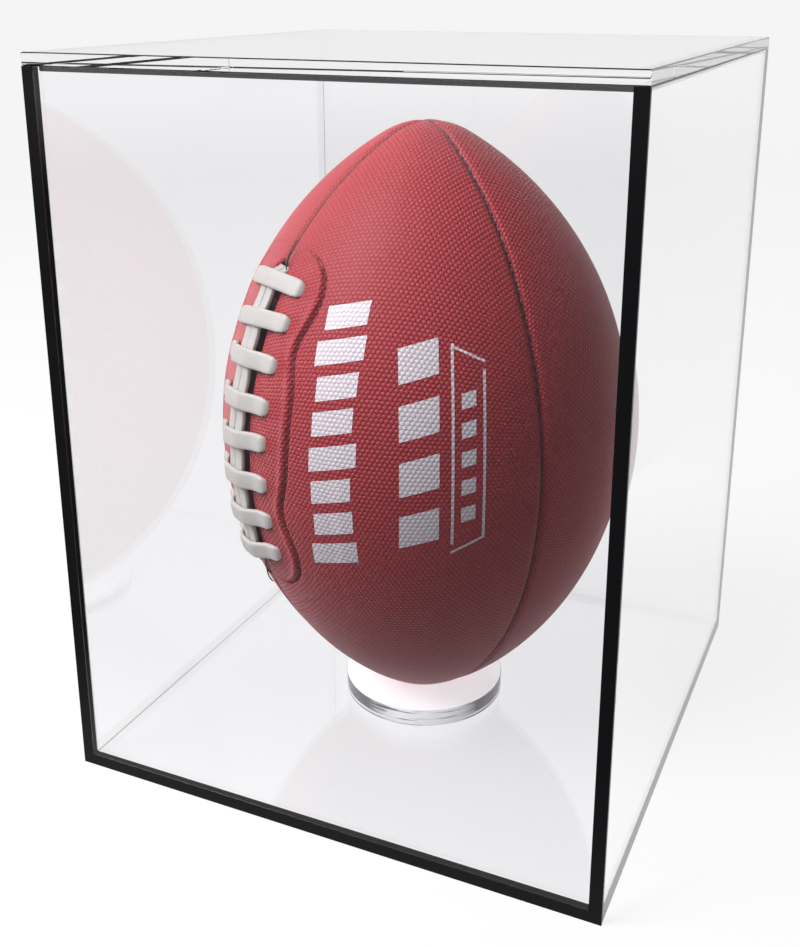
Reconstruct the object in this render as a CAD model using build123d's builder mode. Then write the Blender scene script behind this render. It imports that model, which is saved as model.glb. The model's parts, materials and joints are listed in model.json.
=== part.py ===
from build123d import *
import os
from math import asin, atan2, cos, degrees, radians, sin, sqrt

# Football display case: a square clear acrylic box with a lift-off lid, black edging on its front edges,
# and a ring stand that holds a laced football upright on its tip.
#
# Frame: millimetres, +Z up, the front of the case faces -Y, the origin is the centre of the case's underside.

# --------------------------------------------------------------------------- driving dimensions
# The acrylic case
case_width = 230.0
case_depth = 230.0
case_height = 300.0
wall_thickness = 5.0
base_thickness = 5.0
lid_thickness = 5.0
arris = 0.4  # polished chamfer on the sheets' outer edges

# The black edging on the front edges of the side walls, the base and the lid's locating plate
edging_thickness = 1.0

# The locating plate under the lid
locating_plate_thickness = 2.0
locating_clearance = 0.4
locating_lead_in = 0.5

# The ring stand, whose centre is also the ball's upright axis
stand_x = -2.5
stand_y = -1.5
ring_outer_radius = 36.5
ring_hole_radius = 15.0
ring_height = 8.0
ring_edge_round = 0.8
seat_clearance = 0.3

# The football: a side arc and two tip arcs, turned about its long axis
ball_length = 260.0
ball_diameter = 176.0
ball_tip_radius = 34.0
panel_count = 4
panel_thickness = 3.0
lace_azimuth = -126.0  # direction the laces face, in degrees from +X

# The lacing
lacing_offset = 16.0  # how far the middle stitch sits above the ball's middle
stitch_count = 8
stitch_pitch = 16.5
lace_width = 7.5
lace_thickness = 2.2
lace_clearance = 0.15
stitch_half_span = 20.0
stitch_rest_height = 1.3  # height of a stitch's middle line over the panel beside its hole
stitch_drop = 2.6  # how far a stitch's leg goes into the panel
stitch_bend_radius = 2.4
long_lace_width = 6.0
long_lace_gap = 0.3
long_lace_standoff = 1.0
slit_half_width = 8.0
slit_overrun = 9.0  # how far the slit runs past the first and last stitch
long_lace_overrun = 6.5

# Inside the football
tongue_half_width = 13.0
tongue_thickness = 1.2
tongue_overrun = 14.0
tongue_clearance = 0.1
bladder_clearance = 0.4
bladder_thickness = 1.2

# The valve
valve_azimuth_from_lace = 225.0
valve_stem_radius = 2.5
valve_flange_radius = 6.0
valve_needle_radius = 0.6
valve_clearance = 0.1

# --------------------------------------------------------------------------- derived sizes
wall_height = case_height - base_thickness - lid_thickness
wall_top = case_height - lid_thickness
front_face = -case_depth / 2
edged_front = front_face + edging_thickness  # front edge of a sheet that carries edging
edged_depth = case_depth - edging_thickness
inner_width = case_width - 2 * wall_thickness
inner_depth = case_depth - 2 * wall_thickness
locating_width = inner_width - 2 * locating_clearance
locating_depth = inner_depth - 2 * locating_clearance
locating_front = -locating_depth / 2

half_length = ball_length / 2
ball_radius = ball_diameter / 2
side_arc_radius = (ball_radius**2 + half_length**2 - 2 * half_length * ball_tip_radius) / (
    2 * (ball_radius - ball_tip_radius)
)
side_arc_centre = ball_radius - side_arc_radius  # distance out from the axis, negative on the far side
tip_arc_centre = half_length - ball_tip_radius
tangent_angle = atan2(tip_arc_centre, -side_arc_centre)  # where the side arc meets the tip arc


def ball_middle_height():
    """Height of the ball's middle when its tip rests, with seat_clearance, on the ring's rounded edge."""
    edge_radius = ring_hole_radius + ring_edge_round
    edge_height = base_thickness + ring_height - ring_edge_round
    reach = ring_edge_round + seat_clearance
    if edge_radius <= (ball_tip_radius + reach) * cos(tangent_angle):
        rise = sqrt((ball_tip_radius + reach) ** 2 - edge_radius**2)
        return edge_height + rise + tip_arc_centre
    return edge_height + sqrt((side_arc_radius + reach) ** 2 - (edge_radius - side_arc_centre) ** 2)


ball_middle = ball_middle_height()
ball_axis = Axis((stand_x, stand_y, 0), (0, 0, 1))
lacing_length = (stitch_count - 1) * stitch_pitch
lacing_middle_angle = asin(lacing_offset / side_arc_radius)


# --------------------------------------------------------------------------- helpers
def save(piece, name):
    """Labels a finished piece and writes it as its own STEP file."""
    piece.part.label = name
    export_step(piece.part, f"parts/{name}.step")


def meridian_plane(azimuth):
    """A plane through the ball's long axis, with local x outwards at this azimuth and local y up."""
    a = radians(azimuth)
    origin = (stand_x, stand_y, ball_middle)
    return Plane(origin=origin, x_dir=(cos(a), sin(a), 0), z_dir=(sin(a), -cos(a), 0))


def side_arc_point(angle, offset=0.0):
    """Point of the side arc, moved outwards by offset, at an angle above the ball's middle."""
    r = side_arc_radius + offset
    return (side_arc_centre + r * cos(angle), r * sin(angle))


def tip_arc_point(angle, offset, up):
    """Point of a tip arc, moved outwards by offset, at an angle above the horizontal. up is 1 or -1."""
    r = ball_tip_radius + offset
    return (r * cos(angle), up * (tip_arc_centre + r * sin(angle)))


def ball_outline(offset):
    """The ball's half outline from the lower tip to the upper tip, moved outwards by offset."""
    halfway = (tangent_angle + radians(90)) / 2
    lower_tip, upper_tip = (0, -half_length - offset), (0, half_length + offset)
    lower_join, upper_join = side_arc_point(-tangent_angle, offset), side_arc_point(tangent_angle, offset)
    ThreePointArc(lower_tip, tip_arc_point(halfway, offset, -1), lower_join)
    ThreePointArc(lower_join, side_arc_point(0, offset), upper_join)
    ThreePointArc(upper_join, tip_arc_point(halfway, offset, 1), upper_tip)


def side_arc_band(low_angle, high_angle, inner_offset, outer_offset):
    """A closed outline between two offsets of the side arc and two angles above the ball's middle."""
    middle = (low_angle + high_angle) / 2
    inner_low, inner_high = side_arc_point(low_angle, inner_offset), side_arc_point(high_angle, inner_offset)
    outer_low, outer_high = side_arc_point(low_angle, outer_offset), side_arc_point(high_angle, outer_offset)
    ThreePointArc(outer_low, side_arc_point(middle, outer_offset), outer_high)
    Line(outer_high, inner_high)
    ThreePointArc(inner_high, side_arc_point(middle, inner_offset), inner_low)
    Line(inner_low, outer_low)


def lacing_angles(overrun):
    """Lowest and highest angle of a strip that runs past the first and last stitch by overrun."""
    half = (lacing_length / 2 + overrun) / side_arc_radius
    return lacing_middle_angle - half, lacing_middle_angle + half


def stitch_angles():
    """Angle above the ball's middle of every cross stitch, from the lowest up."""
    lowest = lacing_middle_angle - lacing_length / 2 / side_arc_radius
    return [lowest + i * stitch_pitch / side_arc_radius for i in range(stitch_count)]


def stitch_plane(angle):
    """Plane on the surface at one stitch, with local x across the seam and local y out of the ball."""
    a = radians(lace_azimuth)
    r, z = side_arc_point(angle)
    out = Vector(cos(a) * cos(angle), sin(a) * cos(angle), sin(angle))
    across = Vector(-sin(a), cos(a), 0)
    origin = (stand_x + r * cos(a), stand_y + r * sin(a), ball_middle + z)
    return Plane(origin=origin, x_dir=across, z_dir=across.cross(out))


def stitch(angle, growth=0.0, mode=Mode.ADD):
    """One cross stitch: flat lace over the long laces, with a leg down into the panel on each side."""
    over = long_lace_standoff + lace_thickness + lace_clearance + lace_thickness / 2
    shoulder = long_lace_width + long_lace_gap / 2 + lace_thickness / 2
    sag = stitch_half_span**2 / ball_diameter  # the ball's surface falls away towards the legs
    plane = stitch_plane(angle)
    with BuildLine(plane) as path:
        FilletPolyline(
            (-stitch_half_span, -stitch_drop - sag),
            (-stitch_half_span, stitch_rest_height - sag),
            (-shoulder, over),
            (shoulder, over),
            (stitch_half_span, stitch_rest_height - sag),
            (stitch_half_span, -stitch_drop - sag),
            radius=stitch_bend_radius,
        )
    with BuildSketch(Plane(origin=path.line @ 0, x_dir=plane.z_dir, z_dir=path.line % 0)) as section:
        Rectangle(lace_width + 2 * growth, lace_thickness + 2 * growth)
    sweep(section.sketch, path=path.line, mode=mode)


def sheet_box(width, depth, height, low_corner):
    """A flat sheet of acrylic from its lowest corner, inside the current part."""
    with Locations(low_corner):
        Box(width, depth, height, align=(Align.MIN, Align.MIN, Align.MIN))


# --------------------------------------------------------------------------- the case
def build_base():
    """The floor sheet, full width, with its front edge set back for the edging."""
    with BuildPart() as base_panel:
        sheet_box(case_width, edged_depth, base_thickness, (-case_width / 2, edged_front, 0))
        chamfer(base_panel.faces().sort_by(Axis.Z)[0].edges().filter_by(Axis.Y), arris)
    save(base_panel, "base_panel")


def build_walls():
    """Two side walls that stand on the base, with the front and back walls between them."""
    for name, side in (("left_wall", -1), ("right_wall", 1)):
        low_x = -case_width / 2 if side < 0 else case_width / 2 - wall_thickness
        with BuildPart() as side_wall:
            sheet_box(wall_thickness, edged_depth, wall_height, (low_x, edged_front, base_thickness))
            outer = side_wall.faces().sort_by(Axis.X)[0 if side < 0 else -1]
            chamfer(outer.edges().filter_by(Axis.Z).sort_by(Axis.Y)[-1], arris)
        save(side_wall, name)
    for name, low_y in (("front_wall", front_face), ("back_wall", case_depth / 2 - wall_thickness)):
        with BuildPart() as cross_wall:
            sheet_box(inner_width, wall_thickness, wall_height, (-inner_width / 2, low_y, base_thickness))
        save(cross_wall, name)


def build_edging():
    """Black strips bonded to the front edges of the side walls and the base, flush with the front wall."""
    strips = (
        ("edging_left", wall_thickness, wall_height, -case_width / 2, base_thickness),
        ("edging_right", wall_thickness, wall_height, case_width / 2 - wall_thickness, base_thickness),
        ("edging_base", case_width, base_thickness, -case_width / 2, 0),
    )
    for name, width, height, low_x, low_z in strips:
        with BuildPart() as strip:
            sheet_box(width, edging_thickness, height, (low_x, front_face, low_z))
        save(strip, name)


def build_lid():
    """The lid sheet, the plate bonded under it that drops between the walls, and that plate's edging."""
    with BuildPart() as lid_plate:
        sheet_box(case_width, case_depth, lid_thickness, (-case_width / 2, front_face, wall_top))
        chamfer(lid_plate.faces().sort_by(Axis.Z)[-1].edges(), arris)
    save(lid_plate, "lid_plate")

    low_z = wall_top - locating_plate_thickness
    with BuildPart() as lid_locating_plate:
        sheet_box(
            locating_width,
            locating_depth - edging_thickness,
            locating_plate_thickness,
            (-locating_width / 2, locating_front + edging_thickness, low_z),
        )
        lower_edges = lid_locating_plate.faces().sort_by(Axis.Z)[0].edges().sort_by(Axis.Y)
        chamfer(lower_edges[1:], locating_lead_in)
    save(lid_locating_plate, "lid_locating_plate")

    with BuildPart() as edging_lid:
        low_corner = (-locating_width / 2, locating_front, low_z)
        sheet_box(locating_width, edging_thickness, locating_plate_thickness, low_corner)
        chamfer(edging_lid.faces().sort_by(Axis.Y)[0].edges().sort_by(Axis.Z)[0], locating_lead_in)
    save(edging_lid, "edging_lid")


def build_ring_stand():
    """A flat ring bonded to the base, whose rounded hole takes the ball's tip."""
    with BuildPart() as ring_stand:
        with BuildSketch(Plane((stand_x, stand_y, base_thickness))):
            Circle(ring_outer_radius)
            Circle(ring_hole_radius, mode=Mode.SUBTRACT)
        extrude(amount=ring_height)
        upper_edges = ring_stand.faces().sort_by(Axis.Z)[-1].edges()
        fillet(upper_edges, ring_edge_round)
    save(ring_stand, "ring_stand")


# --------------------------------------------------------------------------- the football
def build_panels():
    """The cover's panels, a quarter turn each, open at the lacing slit and pierced for stitches and valve."""
    span = 360 / panel_count
    names = ("ball_panel_front", "ball_panel_right", "ball_panel_back", "ball_panel_left")
    slit_plane = stitch_plane(lacing_middle_angle)
    slit_length = lacing_length + 2 * slit_overrun
    for i, name in enumerate(names):
        start = lace_azimuth + i * span
        beside_lacing = i in (0, panel_count - 1)
        with BuildPart() as panel:
            with BuildSketch(meridian_plane(start)):
                with BuildLine():
                    ball_outline(0)
                    Line((0, half_length), (0, half_length - panel_thickness))
                    ball_outline(-panel_thickness)
                    Line((0, -half_length), (0, -half_length + panel_thickness))
                make_face()
            revolve(axis=ball_axis, revolution_arc=span)
            if beside_lacing:
                tool = Plane(origin=slit_plane.origin, x_dir=slit_plane.x_dir, z_dir=slit_plane.y_dir)
                with BuildSketch(tool):
                    SlotOverall(slit_length, 2 * slit_half_width, rotation=90)
                extrude(amount=2 * ball_tip_radius, both=True, mode=Mode.SUBTRACT)
                for angle in stitch_angles():
                    stitch(angle, growth=lace_clearance, mode=Mode.SUBTRACT)
            valve_from_start = (valve_azimuth_from_lace - i * span) % 360
            if valve_from_start < span:
                with BuildSketch(valve_plane()):
                    Circle(valve_stem_radius + valve_clearance)
                extrude(amount=ball_radius, mode=Mode.SUBTRACT)
        save(panel, name)


def valve_plane():
    """Plane on the ball's long axis that looks out through the valve."""
    a = radians(lace_azimuth + valve_azimuth_from_lace)
    origin = (stand_x, stand_y, ball_middle)
    return Plane(origin=origin, x_dir=(-sin(a), cos(a), 0), z_dir=(cos(a), sin(a), 0))


def build_cross_laces():
    """The cross stitches, one separate solid each."""
    with BuildPart() as cross_laces:
        for angle in stitch_angles():
            stitch(angle)
    save(cross_laces, "cross_laces")


def build_long_laces():
    """Two strands of lace side by side along the slit, under the cross stitches."""
    low, high = lacing_angles(long_lace_overrun)
    width_angle = degrees(long_lace_width / ball_radius)
    gap_angle = degrees(long_lace_gap / 2 / ball_radius)
    with BuildPart() as long_laces:
        for start in (lace_azimuth + gap_angle, lace_azimuth - gap_angle - width_angle):
            with BuildSketch(meridian_plane(start)):
                with BuildLine():
                    side_arc_band(low, high, long_lace_standoff, long_lace_standoff + lace_thickness)
                make_face()
            revolve(axis=ball_axis, revolution_arc=width_angle)
    save(long_laces, "long_laces")


def build_tongue():
    """The strip behind the slit that keeps the laces off the bladder."""
    low, high = lacing_angles(tongue_overrun)
    outer = -panel_thickness - tongue_clearance
    half_angle = degrees(tongue_half_width / ball_radius)
    with BuildPart() as lace_tongue:
        with BuildSketch(meridian_plane(lace_azimuth - half_angle)):
            with BuildLine():
                side_arc_band(low, high, outer - tongue_thickness, outer)
            make_face()
        revolve(axis=ball_axis, revolution_arc=2 * half_angle)
    save(lace_tongue, "lace_tongue")


def build_bladder():
    """The air bladder, a hollow rubber skin inside the cover, with a hole for the valve stem."""
    outer = -panel_thickness - tongue_clearance - tongue_thickness - bladder_clearance
    inner = outer - bladder_thickness
    with BuildPart() as ball_bladder:
        with BuildSketch(meridian_plane(0)):
            with BuildLine():
                ball_outline(outer)
                Line((0, half_length + outer), (0, half_length + inner))
                ball_outline(inner)
                Line((0, -half_length - inner), (0, -half_length - outer))
            make_face()
        revolve(axis=ball_axis)
        with BuildSketch(valve_plane()):
            Circle(valve_stem_radius + valve_clearance)
        extrude(amount=ball_radius, mode=Mode.SUBTRACT)
    save(ball_bladder, "ball_bladder")


def build_valve():
    """The rubber inflation valve: a stem flush with the cover, and a flange between cover and bladder."""
    skin = panel_thickness + tongue_clearance + tongue_thickness + bladder_clearance + bladder_thickness
    flange_outer = ball_radius - panel_thickness - tongue_clearance
    flange_gap = tongue_thickness
    plane = valve_plane()
    sunk = valve_stem_radius**2 / ball_radius  # keeps the flat stem end under the curved cover
    with BuildPart() as ball_valve:
        with BuildSketch(plane.offset(ball_radius - skin - sunk)):
            Circle(valve_stem_radius)
        extrude(amount=skin)
        flange_sag = valve_flange_radius**2 / ball_radius
        with BuildSketch(plane.offset(flange_outer - flange_gap)):
            Circle(valve_flange_radius)
        extrude(amount=flange_gap - flange_sag)
        with BuildSketch(plane.offset(ball_radius - skin / 2)):
            Circle(valve_needle_radius)
        extrude(amount=skin, mode=Mode.SUBTRACT)
    save(ball_valve, "ball_valve")


def main():
    """Builds and writes every piece."""
    os.makedirs("parts", exist_ok=True)
    build_base()
    build_walls()
    build_edging()
    build_lid()
    build_ring_stand()
    build_panels()
    build_cross_laces()
    build_long_laces()
    build_tongue()
    build_bladder()
    build_valve()


main()
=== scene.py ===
"""Looks of a football display case.

The case is a clear acrylic box with black front edging and a lift-off lid. Inside it a laced football
stands on its tip in a clear ring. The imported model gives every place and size. Each sub-assembly is a class
that makes its surfaces with numpy and dresses them, and each finish is a small class that builds one
procedural material. Lengths are in metres.
"""

from __future__ import annotations

import json
import logging
import math
from dataclasses import dataclass, field
from enum import Enum
from typing import Sequence

import bmesh
import bpy
import numpy as np
from mathutils import Matrix, Vector


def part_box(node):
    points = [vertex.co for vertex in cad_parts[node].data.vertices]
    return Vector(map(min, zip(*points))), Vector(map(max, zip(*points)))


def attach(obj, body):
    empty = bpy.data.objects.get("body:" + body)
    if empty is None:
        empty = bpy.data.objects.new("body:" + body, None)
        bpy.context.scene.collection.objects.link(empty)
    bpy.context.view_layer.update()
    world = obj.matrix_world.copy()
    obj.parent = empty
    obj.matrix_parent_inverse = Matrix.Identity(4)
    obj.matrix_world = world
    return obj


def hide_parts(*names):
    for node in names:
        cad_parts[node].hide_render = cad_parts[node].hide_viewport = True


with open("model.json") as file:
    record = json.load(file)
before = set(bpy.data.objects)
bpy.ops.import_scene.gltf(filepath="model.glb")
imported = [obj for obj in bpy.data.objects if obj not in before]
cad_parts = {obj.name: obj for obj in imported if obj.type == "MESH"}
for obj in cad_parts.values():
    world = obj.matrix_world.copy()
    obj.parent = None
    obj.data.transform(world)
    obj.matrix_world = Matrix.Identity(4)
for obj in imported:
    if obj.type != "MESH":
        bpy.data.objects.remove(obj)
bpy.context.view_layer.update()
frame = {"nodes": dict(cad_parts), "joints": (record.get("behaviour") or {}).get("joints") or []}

log = logging.getLogger("display_case")

MM = 0.001
QUARTER = math.pi / 2.0
TURN = 2.0 * math.pi
ACRYLIC_REFRACTION = 1.49
Array = np.ndarray
Color = tuple[float, float, float, float]
WHITE: Color = (1.0, 1.0, 1.0, 1.0)


class Body(str, Enum):
    """The rigid bodies that pieces ride on."""

    CASE = "case"
    LID = "lid"
    BALL = "ball"


class Slot(str, Enum):
    """The record's material slots."""

    ACRYLIC = "clear_acrylic"
    COVER = "cover_leather"
    LACE = "white_lace"


# ---------------------------------------------------------------------- surfaces
def grid_faces(rows: int, columns: int, wrap: bool = False) -> Array:
    """Quads of a grid of points stored row by row.

    Args:
        rows: number of rows of points.
        columns: number of points in a row.
        wrap: joins each row's last point to its first.

    Returns:
        One row of four point numbers per quad.
    """
    across = columns if wrap else columns - 1
    row, column = np.meshgrid(np.arange(rows - 1), np.arange(across), indexing="ij")
    here, beside = row * columns + column, row * columns + (column + 1) % columns
    return np.stack([here, beside, beside + columns, here + columns], -1).reshape(-1, 4)


def mesh_piece(
    name: str, points: Array, faces: Array, uv: Array | None = None, smooth: bool = True
) -> bpy.types.Object:
    """Makes an object from arrays of points and faces.

    Args:
        name: the piece's name.
        points: n x 3 places.
        faces: m x 4 point numbers.
        uv: n x 2 pattern coordinates of the points, in metres over the surface.
        smooth: shades the faces smooth.

    Returns:
        The linked object, at the origin, with its place in its mesh.
    """
    mesh = bpy.data.meshes.new(name)
    mesh.vertices.add(len(points))
    mesh.vertices.foreach_set("co", np.asarray(points, np.float32).ravel())
    mesh.loops.add(faces.size)
    mesh.loops.foreach_set("vertex_index", faces.astype(np.int32).ravel())
    mesh.polygons.add(len(faces))
    mesh.polygons.foreach_set("loop_start", np.arange(0, faces.size, 4, dtype=np.int32))
    mesh.update(calc_edges=True)
    mesh.validate()
    mesh.polygons.foreach_set("use_smooth", np.full(len(mesh.polygons), smooth))
    if uv is not None:
        layer = mesh.uv_layers.new(name="surface")
        layer.data.foreach_set("uv", np.asarray(uv, np.float32)[faces.ravel()].ravel())
    piece = bpy.data.objects.new(name, mesh)
    bpy.context.scene.collection.objects.link(piece)
    return piece


def dress(piece: bpy.types.Object, material: bpy.types.Material) -> bpy.types.Object:
    """Gives a piece one material in all its slots.

    Args:
        piece: the piece.
        material: its finish.

    Returns:
        The same piece.
    """
    piece.data.materials.clear()
    piece.data.materials.append(material)
    return piece


def smooth_step(x: Array, low: float, high: float) -> Array:
    """Rises from 0 at low to 1 at high along 3t^2 - 2t^3."""
    t = np.clip((x - low) / (high - low), 0.0, 1.0)
    return t * t * (3.0 - 2.0 * t)


def flat_section(width: float, thickness: float, power: float, around: int) -> tuple[Array, Array]:
    """Section of a flat lace: a superellipse, (cos, sin) of an angle raised to a power with its sign kept.

    Args:
        width: the lace's width.
        thickness: its thickness.
        power: 1 gives an ellipse, and less gives squarer edges.
        around: number of points.

    Returns:
        Distances across the lace and through its thickness.
    """
    angle = np.linspace(0.0, TURN, around, endpoint=False)
    wide = np.sign(np.cos(angle)) * np.abs(np.cos(angle)) ** power * width / 2.0
    thick = np.sign(np.sin(angle)) * np.abs(np.sin(angle)) ** power * thickness / 2.0
    return wide, thick


def capped(rings: Array) -> Array:
    """Adds a pole, the mean of the end ring repeated all round, before the first ring and after the last."""
    poles = [np.repeat(rings[i].mean(0)[None], rings.shape[1], 0)[None] for i in (0, -1)]
    return np.concatenate([poles[0], rings, poles[1]])


# ---------------------------------------------------------------------- node helpers
class Shader:
    """Short calls for building one material's nodes."""

    def __init__(self, name: str) -> None:
        """Starts an empty material.

        Args:
            name: the material's name.
        """
        self.material = bpy.data.materials.new(name)
        self.material.use_nodes = True
        self.tree = self.material.node_tree
        self.tree.nodes.clear()
        self.output = self.add("ShaderNodeOutputMaterial")

    def add(self, kind: str, inputs: dict | None = None, **settings: object) -> bpy.types.Node:
        """Adds a node.

        Args:
            kind: the node's type name.
            inputs: values or sockets for its inputs, by name or number.
            settings: the node's own properties.

        Returns:
            The new node.
        """
        node = self.tree.nodes.new(kind)
        for key, value in settings.items():
            setattr(node, key, value)
        for key, value in (inputs or {}).items():
            if isinstance(value, bpy.types.NodeSocket):
                self.tree.links.new(value, node.inputs[key])
            else:
                node.inputs[key].default_value = value
        return node

    def math(self, operation: str, *values: object) -> bpy.types.NodeSocket:
        """The result of a Math node on up to three values or sockets."""
        return self.add("ShaderNodeMath", dict(enumerate(values)), operation=operation).outputs[0]

    def mix_color(self, factor: object, low: object, high: object) -> bpy.types.NodeSocket:
        """A blend of two colours by a factor."""
        return self.add("ShaderNodeMix", {0: factor, 6: low, 7: high}, data_type="RGBA").outputs[2]

    def spread(self, value: object, start: float, end: float, low: float = 0.0, high: float = 1.0) -> object:
        """Maps a value that runs from start to end onto low to high.

        Args:
            value: the socket to map.
            start: value that gives low.
            end: value that gives high.
            low: result at start, and beyond it.
            high: result at end, and beyond it.

        Returns:
            The Map Range node's result socket.
        """
        limits = {"From Min": start, "From Max": end, "To Min": low, "To Max": high}
        return self.add("ShaderNodeMapRange", {"Value": value, **limits}).outputs[0]

    def noise(self, place: object, scale: float, detail: float = 2.0) -> bpy.types.NodeSocket:
        """The grey value of a Noise Texture at a place."""
        values = {"Vector": place, "Scale": scale, "Detail": detail}
        return self.add("ShaderNodeTexNoise", values).outputs["Fac"]

    def object_place(self) -> bpy.types.NodeSocket:
        """The Object coordinates."""
        return self.add("ShaderNodeTexCoord").outputs["Object"]

    def finish(self, surface: bpy.types.NodeSocket) -> bpy.types.Material:
        """Joins the surface to the output and gives the material back."""
        self.tree.links.new(surface, self.output.inputs["Surface"])
        return self.material


def pebble_height(shader: Shader, pitch: float, uv: bpy.types.NodeSocket) -> bpy.types.NodeSocket:
    """Height of an embossed pebble grain, from 0 in the valleys to 1 on the pebbles.

    Three cosines whose directions are 60 degrees apart add up to a hexagonal field of round bumps. The result
    is flattened on top, and a little noise moves the bumps so that no two are the same.

    Args:
        shader: the material's builder.
        pitch: distance between neighbouring pebbles.
        uv: pattern coordinates in metres.

    Returns:
        The height socket.
    """
    wander = shader.add("ShaderNodeTexNoise", {"Vector": uv, "Scale": 0.35 / pitch, "Detail": 2.0})
    shift = shader.add(
        "ShaderNodeVectorMath", {0: wander.outputs["Color"], 1: (0.5, 0.5, 0.5)}, operation="SUBTRACT"
    )
    moved = shader.add(
        "ShaderNodeVectorMath", {0: shift.outputs[0], 1: (0.3 * pitch,) * 3, 2: uv}, operation="MULTIPLY_ADD"
    )
    wave = TURN / (pitch * math.sqrt(3.0) / 2.0)
    total = None
    for turn in range(3):
        angle = math.radians(30.0 + 60.0 * turn)
        direction = (math.cos(angle) * wave, math.sin(angle) * wave, 0.0)
        dot = shader.add("ShaderNodeVectorMath", {0: moved.outputs[0], 1: direction}, operation="DOT_PRODUCT")
        ripple = shader.math("COSINE", dot.outputs["Value"])
        total = ripple if total is None else shader.math("ADD", total, ripple)
    level = shader.add("ShaderNodeMapRange", {"Value": total, "From Min": -1.5, "From Max": 1.3})
    level.interpolation_type = "SMOOTHSTEP"
    return level.outputs[0]


# ---------------------------------------------------------------------- finishes
@dataclass(frozen=True)
class ClearAcrylic:
    """Polished clear cast acrylic. It bends and mirrors what is seen through it, and lets lamps through."""

    tint: Color = (0.985, 0.985, 0.99, 1.0)
    lamp_tint: Color = (0.96, 0.96, 0.965, 1.0)
    gloss: float = 0.05

    def material(self, name: str) -> bpy.types.Material:
        """Builds the material: glass for what is seen, a plain tint for light on its way to what is inside.

        Args:
            name: the material's name.

        Returns:
            The material.
        """
        shader = Shader(name)
        glass = shader.add(
            "ShaderNodeBsdfPrincipled",
            {
                "Base Color": self.tint,
                "Roughness": 0.0,
                "IOR": ACRYLIC_REFRACTION,
                "Transmission Weight": 1.0,
                "Specular IOR Level": self.gloss,
            },
        )
        clear = shader.add("ShaderNodeBsdfTransparent", {"Color": self.lamp_tint})
        path = shader.add("ShaderNodeLightPath")
        lit = shader.math("MAXIMUM", path.outputs["Is Shadow Ray"], path.outputs["Is Diffuse Ray"])
        mixed = shader.add("ShaderNodeMixShader", {0: lit, 1: glass.outputs[0], 2: clear.outputs[0]})
        return shader.finish(mixed.outputs[0])


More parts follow.
